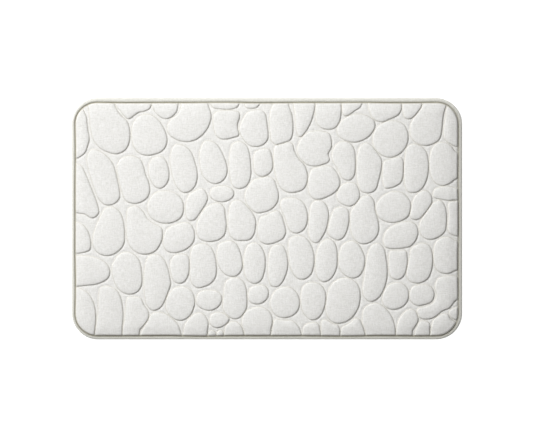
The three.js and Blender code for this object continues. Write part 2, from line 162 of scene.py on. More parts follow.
# ---- Foam core: one sheet of slow-recovery memory foam under the plush ----
# It is cut to the mat's outline. The seam squeezes its edge to less than half its thickness, so it has a
# sloping shoulder just inside the binding.
LENGTH, WIDTH, CORNER = 800 * MM, 495 * MM, 54 * MM
FIELD_INSET = 8.8 * MM  # the open face and back start this far inside the outline
SHOULDER = 8 * MM  # width of the slope from the pinched edge up to the full thickness
FOAM = {"inset": 1.4 * MM, "low": 2.9 * MM, "pinched": 5.2 * MM, "high": 8.3 * MM}


def rounded_slab(name, inset, low, high):
    """A slab with the mat's rounded corners, moved in by inset, from low to high."""
    start_piece()
    bpy.ops.mesh.primitive_cube_add(size=1, location=(0, 0, (low + high) / 2))
    slab = bpy.context.object
    slab.name = name
    slab.scale = (LENGTH - 2 * inset, WIDTH - 2 * inset, high - low)
    bpy.ops.object.transform_apply(location=True, rotation=True, scale=True)
    for edge in slab.data.edges:
        a, b = (slab.data.vertices[i].co for i in edge.vertices)
        edge.select = abs(a.z - b.z) > (high - low) / 2
    edit_selected(slab, "EDGE")
    bpy.ops.mesh.bevel(offset=CORNER - inset, segments=9, profile=0.5, affect="EDGES")
    bpy.ops.object.mode_set(mode="OBJECT")
    return slab


def edit_selected(piece, kind):
    """Opens edit mode on what is flagged as selected in the mesh."""
    flagged = {
        "EDGE": [e.index for e in piece.data.edges if e.select],
        "FACE": [f.index for f in piece.data.polygons if f.select],
    }[kind]
    bpy.ops.object.mode_set(mode="EDIT")
    bpy.ops.mesh.select_mode(type=kind)
    bpy.ops.mesh.select_all(action="DESELECT")
    bpy.ops.object.mode_set(mode="OBJECT")
    for index in flagged:
        (piece.data.edges if kind == "EDGE" else piece.data.polygons)[index].select = True
    bpy.ops.object.mode_set(mode="EDIT")


foam = rounded_slab("memory_foam", FOAM["inset"], FOAM["low"], FOAM["pinched"])
for face in foam.data.polygons:
    face.select = face.normal.z > 0.9
edit_selected(foam, "FACE")
bpy.ops.mesh.inset(thickness=FIELD_INSET - FOAM["inset"])
bpy.ops.mesh.inset(thickness=SHOULDER, depth=FOAM["high"] - FOAM["pinched"])
bpy.ops.object.mode_set(mode="OBJECT")

cream_foam, cream_foam_shader = new_material("open_cell_memory_foam", Roughness=0.95)
# Polyurethane foam is matt and slightly yellow, with cells of about 0.4 mm that show as fine pits.
foam_place = add_node(cream_foam, "ShaderNodeTexCoord")
foam_cells = add_node(cream_foam, "ShaderNodeTexVoronoi", {"feature": "F1"}, {
    "Vector": (foam_place, "Object"), "Scale": 1 / (0.8 * MM)})
foam_tone = two_tone(cream_foam, (foam_cells, "Distance"), "#f2e9c9", "#ddd0a6")
connect(cream_foam, foam_tone, "Color", cream_foam_shader, "Base Color")
relief_of(cream_foam, cream_foam_shader, (foam_cells, "Distance"), 0.5, 0.3 * MM)
dress(foam, cream_foam, "foam", "foam_core")


# ---- Plush face: one sheet of dense microfibre pile, heat-embossed into pebbles that the foam fills ----
# The hot plate presses narrow grooves and patches of low ground, and the pebbles between them swell back up.
# Each pebble's place comes from the flat crowns of the solid part. A cloth simulation swells the crowns.
PLUSH = {"inset": 2.6 * MM, "low": 5.5 * MM, "pinched": 7.1 * MM, "under": 8.6 * MM, "ground": 10.6 * MM}
CROWN_LEAN = 3 * MM  # a crown's rim stands this far inside the pebble's foot
GROOVE = 1.1 * MM  # least width of a groove between two pebbles
# A pebble is a rounded side, a dome and a last slow rise to the crown, each a height and a width.
PEBBLE_SIDE, SIDE_WIDE = 2.3 * MM, 2.1 * MM
PEBBLE_DOME, DOME_WIDE = 1.1 * MM, 10 * MM
PEBBLE_CROWN, CROWN_WIDE = 0.6 * MM, 20 * MM
GROUND_RISE, GROUND_WIDE = 0.9 * MM, 6 * MM  # the low ground rises away from the pebbles
EDGE_WIDE = 5.5 * MM  # the face curves down to the binding over this width
EDGE_DROP, DROP_WIDE = 2.2 * MM, 22 * MM  # and it is a little lower for some way in
GRID = (720, 446)  # cells of about 1.1 mm
SWELL_GRID = (200, 124)
SWELL_STEPS = 14
SWELL_CAP = 0.8 * MM
TUFTS = ((60, 37, 0.05 * MM), (220, 136, 0.06 * MM), (600, 371, 0.09 * MM))  # columns, rows and depth


def crown_loops(node, crown):
    """The rims of the flat pebble crowns, counterclockwise, as arrays of x, y."""
    after = {}
    pairs = set()
    for face in node.data.polygons:
        corners = [node.data.vertices[i].co for i in face.vertices]
        if face.normal.z > 0.99 and min(c.z for c in corners) > crown - 0.1 * MM:
            keys = [(round(c.x, 5), round(c.y, 5)) for c in corners]
            pairs.update((keys[i], keys[(i + 1) % 3]) for i in range(3))
    for a, b in sorted(pairs):
        if (b, a) not in pairs:
            after[a] = b
    loops = []
    while after:
        start = min(after)
        loop = [start]
        step = after.pop(start)
        while step != start and step in after:
            loop.append(step)
            step = after.pop(step)
        loops.append(np.array(loop))
    return loops


def edge_distance(x, y):
    """How far inside the mat's outline a point is, and the outward direction there."""
    qx = np.abs(x) - (LENGTH / 2 - CORNER)
    qy = np.abs(y) - (WIDTH / 2 - CORNER)
    outside = np.hypot(np.maximum(qx, 0), np.maximum(qy, 0))
    inset = CORNER - outside - np.minimum(np.maximum(qx, qy), 0)
    corner = (qx > 0) & (qy > 0)
    nx = np.where(corner, qx / np.maximum(outside, 1e-9), qx > qy) * np.sign(x)
    ny = np.where(corner, qy / np.maximum(outside, 1e-9), qx <= qy) * np.sign(y)
    return inset, nx, ny


def smooth_loop(points, steps=6):
    """A closed centripetal spline through the points."""
    rolled = [np.roll(points, shift, axis=0) for shift in (1, 0, -1, -2)]
    gap = [np.maximum(np.hypot(*(b - a).T), 1e-6) ** 0.5 for a, b in zip(rolled, rolled[1:])]
    t1, t2, t3 = gap[0], gap[0] + gap[1], gap[0] + gap[1] + gap[2]
    t0 = np.zeros_like(t1)
    out = []
    for k in range(steps):
        t = t1 + (t2 - t1) * k / steps

        def mix(a, b, ta, tb):
            return ((tb - t) / (tb - ta))[:, None] * a + ((t - ta) / (tb - ta))[:, None] * b

        a = [mix(p, q, s, e) for p, q, s, e in zip(rolled, rolled[1:], (t0, t1, t2), (t1, t2, t3))]
        b = [mix(a[0], a[1], t0, t2), mix(a[1], a[2], t1, t3)]
        out.append(mix(b[0], b[1], t1, t2))
    return np.stack(out, axis=1).reshape(-1, 2)


def pebble_feet():
    """Each pebble's foot. One at the border runs on under the binding."""
    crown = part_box("plush_top")[1].z
    feet = []
    for loop in crown_loops(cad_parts["plush_top"], crown):
        inset, nx, ny = edge_distance(*loop.T)
        cut = inset < FIELD_INSET + 6.4 * MM
        loop = loop + np.stack([nx, ny], axis=1) * (cut * 9 * MM)[:, None]
        curve = smooth_loop(loop)
        along = np.roll(curve, -1, axis=0) - np.roll(curve, 1, axis=0)
        along /= np.maximum(np.hypot(*along.T), 1e-9)[:, None]
        feet.append(curve + np.stack([along[:, 1], -along[:, 0]], axis=1) * CROWN_LEAN)
    return feet


def signed_depth(x, y, foot):
    """Distance from points to a pebble's foot, positive inside."""
    a, b = foot, np.roll(foot, -1, axis=0)
    ab = b - a
    px, py = x[:, None] - a[:, 0], y[:, None] - a[:, 1]
    t = np.clip((px * ab[:, 0] + py * ab[:, 1]) / np.maximum((ab**2).sum(1), 1e-12), 0, 1)
    distance = np.hypot(px - t * ab[:, 0], py - t * ab[:, 1]).min(axis=1)
    crosses = (a[:, 1] > y[:, None]) != (b[:, 1] > y[:, None])
    run = np.where(ab[:, 1] == 0, 1e-12, ab[:, 1])
    right = x[:, None] < a[:, 0] + (y[:, None] - a[:, 1]) * ab[:, 0] / run
    inside = (crosses & right).sum(axis=1) % 2 == 1
    return np.where(inside, distance, -distance)


def pebble_depth(x, y, feet):
    """Depth inside the nearest pebble, less what a groove to the next one takes."""
    reach = 14 * MM
    first = np.full(x.shape, -reach)
    second = np.full(x.shape, -reach)
    for foot in feet:
        low, high = foot.min(axis=0) - reach, foot.max(axis=0) + reach
        near = np.flatnonzero((x > low[0]) & (x < high[0]) & (y > low[1]) & (y < high[1]))
        depth = signed_depth(x[near], y[near], foot)
        better = depth > first[near]
        second[near] = np.where(better, first[near], np.maximum(second[near], depth))
        first[near] = np.where(better, depth, first[near])
    return np.minimum(first, (first - second) / 2 - GROOVE / 2)


def ease(t):
    t = np.clip(t, 0, 1)
    return t * t * (3 - 2 * t)


def rounded(t, power):
    """A rise from 0 to 1 that starts steep and levels off."""
    return 1 - (1 - np.clip(t, 0, 1)) ** power


def binding_reach(x, y):
    """How far in the binding reaches: 7 mm at the left and the bottom, 8 at the right and 10 at the top."""
    _, nx, ny = edge_distance(x, y)
    across = np.where(nx > 0, 0.9, 0.2) * nx * np.abs(nx)
    upward = np.where(ny > 0, 2.4, 0.5) * ny * np.abs(ny)
    wave = 0.35 * np.sin(x / (41 * MM) + 1.3) * np.cos(y / (37 * MM)) + 0.25 * np.sin((x - y) / (23 * MM))
    return (7.4 + across + upward + wave) * MM


def relief(x, y, feet):
    """Height of the plush, how far up its pebble each point is, and how much painted shade and fused pile
    darken it there.
    """
    depth = pebble_depth(x, y, feet)
    rise = rounded(depth / SIDE_WIDE, 2.5)
    dome = rounded(depth / DOME_WIDE, 2.2)
    height = (PEBBLE_SIDE * rise + PEBBLE_DOME * dome + PEBBLE_CROWN * ease(depth / CROWN_WIDE)
              + GROUND_RISE * ease(-depth / GROUND_WIDE))
    inset, _, _ = edge_distance(x, y)
    crease = inset - binding_reach(x, y)
    full = PLUSH["ground"] + height - EDGE_DROP * (1 - ease(crease / DROP_WIDE))
    border = np.clip((crease - 0.3 * MM) / EDGE_WIDE, 0, 1)
    z = PLUSH["pinched"] + (full - PLUSH["pinched"]) * rounded(border, 2.5)
    # Painted shade darkens the pile most in the crease along the binding, and less along the right, where the
    # real shadow is already deep. A pebble's foot is darkened lightly, partly as fused pile and partly as
    # painted shade in the groove.
    seam_shade_weight = 0.85 - 0.35 * np.clip((x - 340 * MM) / (40 * MM), 0, 1)
    seam_shade = seam_shade_weight * np.exp(-((crease / (2.1 * MM)) ** 2))
    foot_fusing_and_shade = 0.36 * np.exp(-((depth / (0.9 * MM)) ** 2))
    return z, rise * border, np.maximum(foot_fusing_and_shade, seam_shade)


def mat_grid(name, cells, inset):
    """A flat grid that fills the outline moved in by inset, its corner cells bent to the round corners."""
    start_piece()
    bpy.ops.mesh.primitive_grid_add(x_subdivisions=cells[0], y_subdivisions=cells[1], size=1)
    sheet = bpy.context.object
    sheet.name = name
    co = np.empty(len(sheet.data.vertices) * 3)
    sheet.data.vertices.foreach_get("co", co)
    co = co.reshape(-1, 3)
    co[:, 0] *= LENGTH - 2 * inset
    co[:, 1] *= WIDTH - 2 * inset
    radius = CORNER - inset
    a = (np.abs(co[:, 0]) - (LENGTH / 2 - CORNER)) / radius
    b = (np.abs(co[:, 1]) - (WIDTH / 2 - CORNER)) / radius
    corner = (a > 0) & (b > 0)
    shrink = np.where(corner, np.maximum(a, b) / np.maximum(np.hypot(a, b), 1e-9), 1)
    co[:, 0] = np.where(corner, np.sign(co[:, 0]) * (LENGTH / 2 - CORNER + a * shrink * radius), co[:, 0])
    co[:, 1] = np.where(corner, np.sign(co[:, 1]) * (WIDTH / 2 - CORNER + b * shrink * radius), co[:, 1])
    sheet.data.vertices.foreach_set("co", co.ravel())
    return sheet, co


def swell(feet):
    """Swells the crowns as cloth under pressure, pinned in the grooves, and returns the lift on its grid."""
    sheet, co = mat_grid("swelling", SWELL_GRID, PLUSH["inset"])
    co[:, 2], up, _ = relief(co[:, 0], co[:, 1], feet)
    sheet.data.vertices.foreach_set("co", co.ravel())
    pins = sheet.vertex_groups.new(name="grooves")
    for index, value in enumerate(1 - ease((up - 0.35) / 0.6)):
        pins.add([index], float(value), "REPLACE")
    cloth = sheet.modifiers.new("swell", "CLOTH")
    cloth.settings.vertex_group_mass = "grooves"
    cloth.settings.effector_weights.gravity = 0
    cloth.settings.quality = 4
    cloth.settings.mass = 0.3
    cloth.settings.tension_stiffness = 12
    cloth.settings.compression_stiffness = 12
    cloth.settings.bending_stiffness = 1.5
    cloth.settings.use_pressure = True
    cloth.settings.uniform_pressure_force = 5
    cloth.point_cache.frame_end = SWELL_STEPS
    for frame_number in range(1, SWELL_STEPS + 1):
        bpy.context.scene.frame_set(frame_number)
    settled = sheet.evaluated_get(bpy.context.evaluated_depsgraph_get()).to_mesh()
    after = np.empty(len(settled.vertices) * 3)
    settled.vertices.foreach_get("co", after)
    lift = np.abs(after.reshape(-1, 3)[:, 2] - co[:, 2])
    lift = np.minimum(lift, SWELL_CAP)
    mesh = sheet.data
    bpy.data.objects.remove(sheet)
    bpy.data.meshes.remove(mesh)
    bpy.context.scene.frame_set(1)
    return lift.reshape(SWELL_GRID[1] + 1, SWELL_GRID[0] + 1)


def resample(field, cells):
    """A field on one grid, read on another by straight-line mixing."""
    rows = np.linspace(0, field.shape[0] - 1, cells[1] + 1)
    columns = np.linspace(0, field.shape[1] - 1, cells[0] + 1)
    r = np.minimum(rows.astype(int), field.shape[0] - 2)
    c = np.minimum(columns.astype(int), field.shape[1] - 2)
    fr, fc = (rows - r)[:, None], (columns - c)[None, :]
    low = field[r][:, c] * (1 - fc) + field[r][:, c + 1] * fc
    high = field[r + 1][:, c] * (1 - fc) + field[r + 1][:, c + 1] * fc
    return low * (1 - fr) + high * fr


feet = pebble_feet()
plush, plush_co = mat_grid("embossed_plush", GRID, PLUSH["inset"])
plush_co[:, 2], up, pressed = relief(plush_co[:, 0], plush_co[:, 1], feet)
plush_co[:, 2] += resample(swell(feet), GRID).ravel() * ease(up)
pile = np.random.RandomState(11)
for tuft_columns, tuft_rows, depth in TUFTS:
    tufts = pile.uniform(-1, 1, (tuft_rows + 1, tuft_columns + 1))
    above_binding = ease((plush_co[:, 2] - 7.5 * MM) / (2 * MM))
    plush_co[:, 2] += resample(tufts, GRID).ravel() * depth * above_binding
plush.data.vertices.foreach_set("co", plush_co.ravel())
# This weight holds painted shade along the binding's crease, and fused pile with painted shade at the
# pebbles' feet.
pressed_and_shade_layer = plush.data.attributes.new("pressed", "FLOAT", "POINT")
pressed_and_shade_layer.data.foreach_set("value", pressed.astype(np.float32))

# The sheet's cut edge is turned down and its underside follows the foam's shoulder, so the pad is closed.
def drop_rim(piece, steps):
    """Carries the open rim through (inset, height) steps and closes the last one flat."""
    start_piece()
    piece.select_set(True)
    bpy.context.view_layer.objects.active = piece
    bpy.ops.object.mode_set(mode="EDIT")
    bpy.ops.mesh.select_mode(type="EDGE")
    bpy.ops.mesh.select_all(action="DESELECT")
    bpy.ops.mesh.select_non_manifold()
    for inset, height in steps:
        bpy.ops.mesh.extrude_edges_move()
        bpy.ops.object.mode_set(mode="OBJECT")
        for vertex in piece.data.vertices:
            if vertex.select:
                now, nx, ny = edge_distance(np.array([vertex.co.x]), np.array([vertex.co.y]))
                vertex.co.x -= nx[0] * (inset - now[0])
                vertex.co.y -= ny[0] * (inset - now[0])
                vertex.co.z = height
        bpy.ops.object.mode_set(mode="EDIT")
    bpy.ops.mesh.edge_face_add()
    bpy.ops.mesh.select_all(action="SELECT")
    bpy.ops.mesh.normals_make_consistent(inside=False)
    bpy.ops.object.mode_set(mode="OBJECT")


drop_rim(plush, (
    (PLUSH["inset"], PLUSH["low"]),
    (FIELD_INSET, PLUSH["low"]),
    (FIELD_INSET + SHOULDER, PLUSH["under"]),
))
bpy.ops.object.shade_smooth()

off_white_pile, pile_shader = new_material("short_microfibre_pile", Roughness=0.92)
# Cut polyester pile 2 mm high on a warp knit. Tufts about 1.3 mm across lean different ways and catch the
# light unevenly, and the knit's ribs lift the pile very slightly in wavy lines 2.5 mm apart.
pile_shader.inputs["Sheen Weight"].default_value = 0.12
pile_shader.inputs["Sheen Roughness"].default_value = 0.6
pile_shader.inputs["Specular IOR Level"].default_value = 0.15
pile_place = add_node(off_white_pile, "ShaderNodeTexCoord")
tuft_noise = add_node(off_white_pile, "ShaderNodeTexNoise", None, {
    "Vector": (pile_place, "Object"), "Scale": 1 / (2.6 * MM), "Detail": 3.0, "Roughness": 0.65})
lean_noise = add_node(off_white_pile, "ShaderNodeTexNoise", None, {
    "Vector": (pile_place, "Object"), "Scale": 1 / (9 * MM), "Detail": 2.0, "Roughness": 0.5})
# The pile parts along the knit's ribs and courses, in streaks about 2 mm wide and 11 mm long.
streaks = []
for stretch in ((1 / (2.2 * MM), 1 / (11 * MM), 1), (1 / (11 * MM), 1 / (2.2 * MM), 1)):
    streak_place = add_node(off_white_pile, "ShaderNodeMapping", None, {
        "Vector": (pile_place, "Object"), "Scale": stretch})
    streaks.append(add_node(off_white_pile, "ShaderNodeTexNoise", None, {
        "Vector": (streak_place, "Vector"), "Scale": 1.0, "Detail": 2.0, "Roughness": 0.6}))
streak_sum = add_node(off_white_pile, "ShaderNodeMath", {"operation": "ADD"})
connect(off_white_pile, streaks[0], "Fac", streak_sum, 0)
connect(off_white_pile, streaks[1], "Fac", streak_sum, 1)
tuft_sum = add_node(off_white_pile, "ShaderNodeMath", {"operation": "ADD"})
connect(off_white_pile, streak_sum, 0, tuft_sum, 0)
connect(off_white_pile, tuft_noise, "Fac", tuft_sum, 1)
tuft_share = add_node(off_white_pile, "ShaderNodeMath", {"operation": "DIVIDE"})
connect(off_white_pile, tuft_sum, 0, tuft_share, 0)
tuft_share.inputs[1].default_value = 3
tuft_tone = two_tone(off_white_pile, (tuft_share, 0), "#dddcd8", "#f3f2f0", 0.37, 0.63)
lean_tone = two_tone(off_white_pile, (lean_noise, "Fac"), "#fcfcfb", "#ffffff", 0.3, 0.7)
pile_colour = add_node(off_white_pile, "ShaderNodeMix", {"data_type": "RGBA", "blend_type": "MULTIPLY"})
pile_colour.inputs["Factor"].default_value = 1
connect(off_white_pile, tuft_tone, "Color", pile_colour, 6)
connect(off_white_pile, lean_tone, "Color", pile_colour, 7)
# Painted shade in the crease along the binding, and at a pebble's foot partly fused pile and partly painted
# shade in the groove: the pile is darkened and a little browned there.
pressed_and_shade_reader = add_node(off_white_pile, "ShaderNodeAttribute", {"attribute_name": "pressed"})
pressed_and_shade_colour = add_node(off_white_pile, "ShaderNodeMix", {"data_type": "RGBA", "blend_type": "MIX"})
connect(off_white_pile, pressed_and_shade_reader, "Fac", pressed_and_shade_colour, "Factor")
connect(off_white_pile, pile_colour, 2, pressed_and_shade_colour, 6)
# The olive-brown of the painted shade and the fused pile.
pressed_and_shade_colour.inputs[7].default_value = linear("#9a9274")
connect(off_white_pile, pressed_and_shade_colour, 2, pile_shader, "Base Color")
knit_ribs = add_node(off_white_pile, "ShaderNodeTexWave", {"wave_type": "BANDS", "bands_direction": "X"}, {
    "Vector": (pile_place, "Object"), "Scale": band_scale(2.5 * MM), "Distortion": 3.0, "Detail": 2.0,
    "Detail Scale": 2.0})
rib_bump = add_node(off_white_pile, "ShaderNodeBump", None, {
    "Height": (knit_ribs, "Fac"), "Strength": 0.12, "Distance": 0.25 * MM})
tuft_bump = add_node(off_white_pile, "ShaderNodeBump", None, {
    "Height": (tuft_noise, "Fac"), "Strength": 0.55, "Distance": 0.9 * MM, "Normal": (rib_bump, "Normal")})
connect(off_white_pile, tuft_bump, "Normal", pile_shader, "Normal")
dress(plush, off_white_pile, "plush", "plush_top")


# ---- Backing: a fine knitted cloth with moulded soft-plastic grips ----
# The cloth is cut like the plush and lies flat under the foam. The grips are printed on it as small round
# studs in staggered rows, and they stop where the binding begins.
BACK = {"inset": 2.6 * MM, "low": 1.8 * MM, "high": 2.6 * MM}
STUD = {"pitch": 9 * MM, "wide": 3.4 * MM, "tip": 2.2 * MM, "top": 1.75 * MM}

backing = rounded_slab("knitted_backing", BACK["inset"], BACK["low"], BACK["high"])
grey_knit, knit_shader = new_material("fine_polyester_knit", Roughness=0.9)
# A plain knit with stitches about 1.5 mm wide, in ribs along the mat's length.
knit_place = add_node(grey_knit, "ShaderNodeTexCoord")
knit_wales = add_node(grey_knit, "ShaderNodeTexWave", {"wave_type": "BANDS", "bands_direction": "Y"}, {
    "Vector": (knit_place, "Object"), "Scale": band_scale(1.5 * MM), "Distortion": 0.6, "Detail": 2.0,
    "Detail Scale": 8.0})
knit_loops = add_node(grey_knit, "ShaderNodeTexWave", {"wave_type": "BANDS", "bands_direction": "X"}, {
    "Vector": (knit_place, "Object"), "Scale": band_scale(1.1 * MM), "Distortion": 0.6, "Detail": 2.0,
    "Detail Scale": 8.0})
knit_height = add_node(grey_knit, "ShaderNodeMath", {"operation": "MULTIPLY"})
connect(grey_knit, knit_wales, "Fac", knit_height, 0)
connect(grey_knit, knit_loops, "Fac", knit_height, 1)
knit_tone = two_tone(grey_knit, (knit_height, 0), "#b9b8b2", "#d8d7d1")
connect(grey_knit, knit_tone, "Color", knit_shader, "Base Color")
relief_of(grey_knit, knit_shader, (knit_height, 0), 0.6, 0.3 * MM)
dress(backing, grey_knit, "backing_cloth", "backing_cloth")

start_piece()
columns = int((LENGTH - 2 * FIELD_INSET) / STUD["pitch"])
row_gap = STUD["pitch"] * math.sqrt(3)
rows = int((WIDTH - 2 * FIELD_INSET) / row_gap)
left = -(columns - 0.5) / 2 * STUD["pitch"]
front = -(rows - 0.5) / 2 * row_gap
pair = []
for shift in (0, 1):
    bpy.ops.mesh.primitive_cone_add(
        vertices=8, radius1=STUD["tip"] / 2, radius2=STUD["wide"] / 2, depth=STUD["top"],
        location=(left + shift * STUD["pitch"] / 2, front + shift * row_gap / 2, STUD["top"] / 2))
    pair.append(bpy.context.object)
bpy.ops.object.select_all(action="DESELECT")
for stud in pair:
    stud.select_set(True)
bpy.ops.object.join()
studs = bpy.context.object
studs.name = "grip_studs"
bpy.ops.object.transform_apply(location=True, rotation=True, scale=True)
for count, offset in ((columns, (STUD["pitch"], 0, 0)), (rows, (0, row_gap, 0))):
    copies = studs.modifiers.new("rows", "ARRAY")
    copies.count = count
    copies.use_relative_offset = False
    copies.use_constant_offset = True
    copies.constant_offset_displace = offset
    bpy.ops.object.modifier_apply(modifier=copies.name)

LABEL = {"wide": 34 * MM, "long": 22 * MM, "thick": 0.35 * MM, "inset": 8.7 * MM, "high": 1.55 * MM,
         "fall": 0.75 * MM, "curl": 0.12 * MM}
label_low, label_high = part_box("care_label")


def clear_of_label_and_binding(x, y):
    margin = STUD["wide"] / 2 + 0.4 * MM
    inset, _, _ = edge_distance(x, y)
    on_label = (x > label_low.x - margin) & (x < label_high.x + margin) & (y < label_high.y + margin)
    return (inset > FIELD_INSET + margin) & ~on_label


centres = np.array([f.center[:] for f in studs.data.polygons])
stud_x = np.round((centres[:, 0] - left) / (STUD["pitch"] / 2)) * (STUD["pitch"] / 2) + left
stud_y = np.round((centres[:, 1] - front) / (row_gap / 2)) * (row_gap / 2) + front
for face, keep in zip(studs.data.polygons, clear_of_label_and_binding(stud_x, stud_y)):
    face.select = not keep
edit_selected(studs, "FACE")
bpy.ops.mesh.delete(type="FACE")
bpy.ops.object.mode_set(mode="OBJECT")
soft_plastic, plastic_shader = new_material("moulded_soft_pvc", Roughness=0.5)
# Soft PVC is slightly cloudy and has a low shine, with a faint grain from the mould.
plastic_place = add_node(soft_plastic, "ShaderNodeTexCoord")
plastic_grain = add_node(soft_plastic, "ShaderNodeTexNoise", None, {
    "Vector": (plastic_place, "Object"), "Scale": 1 / (0.6 * MM), "Detail": 2.0})
plastic_tone = two_tone(soft_plastic, (plastic_grain, "Fac"), "#c9c9c4", "#dededa")
connect(soft_plastic, plastic_tone, "Color", plastic_shader, "Base Color")
relief_of(soft_plastic, plastic_shader, (plastic_grain, "Fac"), 0.15, 0.1 * MM)
dress(studs, soft_plastic, "grip", "grip_layer")


# ---- Edge binding: one knitted polyester tape folded round the edge of all the layers ----
# The tape is laid on face down, folded over the cut edges and topstitched. It is about 24 mm wide before
# the fold. The stitches pull it down in a shallow channel, and inside them its edge sinks into the pile.
TAPE = {
    "thick": 0.9 * MM,
    "low": 0.6 * MM,  # its underside on the back
    "under": 8.5 * MM,  # how far in it reaches on the back
    "round": 2.3 * MM,  # the bend at the bottom of the edge
    "wall": 4.4 * MM,  # the height where the face's long curve starts
    "high": 8.7 * MM,  # its crest
    "crest_out": 0.9 * MM,  # the crest, measured outwards from the seam
    "lip": 6.7 * MM,  # its inner edge on the face, down in the pile
    "seam_in": 1.7 * MM,  # the seam, measured from that inner edge
    "sink": 0.35 * MM,  # depth of the stitches' channel
    "channel": 0.8 * MM,  # half the channel's width
}
STITCH = {"pitch": 3.6 * MM, "long": 3.1 * MM, "wide": 0.8 * MM, "deep": 0.5 * MM}


def outline_points(count):
    """Points at even steps round the outline, with the outward direction, counterclockwise from mid-right."""
    straight_x, straight_y = LENGTH - 2 * CORNER, WIDTH - 2 * CORNER
    arc = CORNER * math.pi / 2
    total = 2 * (straight_x + straight_y) + 4 * arc
    sides = (straight_y / 2, straight_x, straight_y, straight_x, straight_y / 2)
    runs = [run for side in sides for run in ((side, False), (arc, True))][:-1]
    out = []
    for k in range(count):
        s = total * k / count
        x, y, heading = LENGTH / 2, 0.0, math.pi / 2
        for run, turns in runs:
            step = min(s, run)
            if turns:
                swept = step / CORNER
                cx, cy = x - CORNER * math.sin(heading), y + CORNER * math.cos(heading)
                heading += swept
                x, y = cx + CORNER * math.sin(heading), cy - CORNER * math.cos(heading)
            else:
                x, y = x + step * math.cos(heading), y + step * math.sin(heading)
            s -= step
            if s <= 0:
                break
        nx, ny = math.sin(heading), -math.cos(heading)
        out.append((x, y, nx, ny))
    return out, total


TAPE_COUNT = 720
tape_path, tape_length = outline_points(TAPE_COUNT)


def tape_section(reach, seam, pucker):
    """The tape's outer face in section, from its inner edge on the back to its inner edge on the face."""
    r, low, high, sink = TAPE["round"], TAPE["low"], TAPE["high"], TAPE["sink"]
    half = TAPE["channel"]
    lower = [(max(TAPE["under"], seam + 2 * half), low), (seam + half, low), (seam, low + sink),
             (seam - half, low)]
    bend = []
    for k in range(6):
        turn = math.pi / 2 * k / 5
        bend.append((r - r * math.sin(turn), low + r - r * math.cos(turn)))
    crest = seam - TAPE["crest_out"]
    upper = []
    for k in range(7):
        turn = math.pi / 2 * k / 6
        rise = (high + pucker - TAPE["wall"]) * math.sin(turn)
        upper.append((crest - crest * math.cos(turn), TAPE["wall"] + rise))
    # From the crest inwards it rolls over into the pile, and it is nearly upright at its edge.
    for share in (0.3, 0.55, 0.7, 0.8, 0.9, 1.0):
        across = crest + (reach - crest) * share
        fall = (high - TAPE["lip"]) * (1 - math.sqrt(1 - 0.96 * share**2))
        dip = sink * math.exp(-(((across - seam) / (0.6 * MM)) ** 2))
        upper.append((across, high + pucker * (1 - share) - fall - dip))
    return lower + bend + upper


def upper_seam(nx, ny, x, y):
    reach = float(binding_reach(np.array([x]), np.array([y]))[0])
    return reach, max(reach - TAPE["seam_in"], TAPE["round"] + 0.9 * MM)


start_piece()
bpy.ops.mesh.primitive_circle_add(vertices=TAPE_COUNT, radius=1, calc_uvs=False)
binding = bpy.context.object
binding.name = "edge_binding_tape"
sections = []
for k, (x, y, nx, ny) in enumerate(tape_path):
    reach, seam = upper_seam(nx, ny, x, y)
    # A straight tape has too much cloth for the inside of a corner, so it puckers there.
    corner_pucker = 0.35 * 4 * (nx * ny) ** 2 * math.sin(k * 1.5)
    pucker = (corner_pucker + 0.07 * math.sin(k * 0.61)) * MM
    sections.append(tape_section(reach, seam, pucker))
bpy.ops.object.mode_set(mode="EDIT")
bpy.ops.mesh.select_mode(type="EDGE")
ring = {tuple(vertex.co): vertex.index for vertex in binding.data.vertices}
tape_place = {}
for step in range(len(sections[0])):
    if step:
        bpy.ops.mesh.extrude_edges_move()
    bpy.ops.object.mode_set(mode="OBJECT")
    moved = {}
    for vertex in binding.data.vertices:
        if vertex.select:
            k = ring[tuple(vertex.co)]
            x, y, nx, ny = tape_path[k]
            inset, height = sections[k][step]
            vertex.co = (x - nx * inset, y - ny * inset, height)
            moved[tuple(vertex.co)] = k
            tape_place[vertex.index] = (k, step)
    ring = moved
    bpy.ops.object.mode_set(mode="EDIT")
bpy.ops.mesh.select_all(action="SELECT")
bpy.ops.mesh.normals_make_consistent(inside=False)
bpy.ops.object.mode_set(mode="OBJECT")
outermost = max(binding.data.polygons, key=lambda face: face.center.x)
if outermost.normal.x < 0:
    bpy.ops.object.mode_set(mode="EDIT")
    bpy.ops.mesh.select_all(action="SELECT")
    bpy.ops.mesh.flip_normals()
    bpy.ops.object.mode_set(mode="OBJECT")
# The weave follows the tape: u runs along it and v across it, both in metres.
weave = binding.data.uv_layers.new(name="weave")
across = [0.0]
for (i, j), (m, n) in zip(sections[0], sections[0][1:]):
    across.append(across[-1] + math.hypot(m - i, n - j))
for face in binding.data.polygons:
    places = [tape_place[index] for index in face.vertices]
    wraps = max(k for k, _ in places) - min(k for k, _ in places) > 1
    for loop, (k, step) in zip(face.loop_indices, places):
        turn = k + TAPE_COUNT if wraps and k == 0 else k
        weave.data[loop].uv = (turn / TAPE_COUNT * tape_length, across[step])
fold = binding.modifiers.new("tape_thickness", "SOLIDIFY")
fold.thickness = TAPE["thick"]
fold.offset = -1
bpy.ops.object.modifier_apply(modifier=fold.name)
bpy.ops.object.shade_smooth()

tape_cloth, tape_shader = new_material("knitted_polyester_tape", Roughness=0.85)
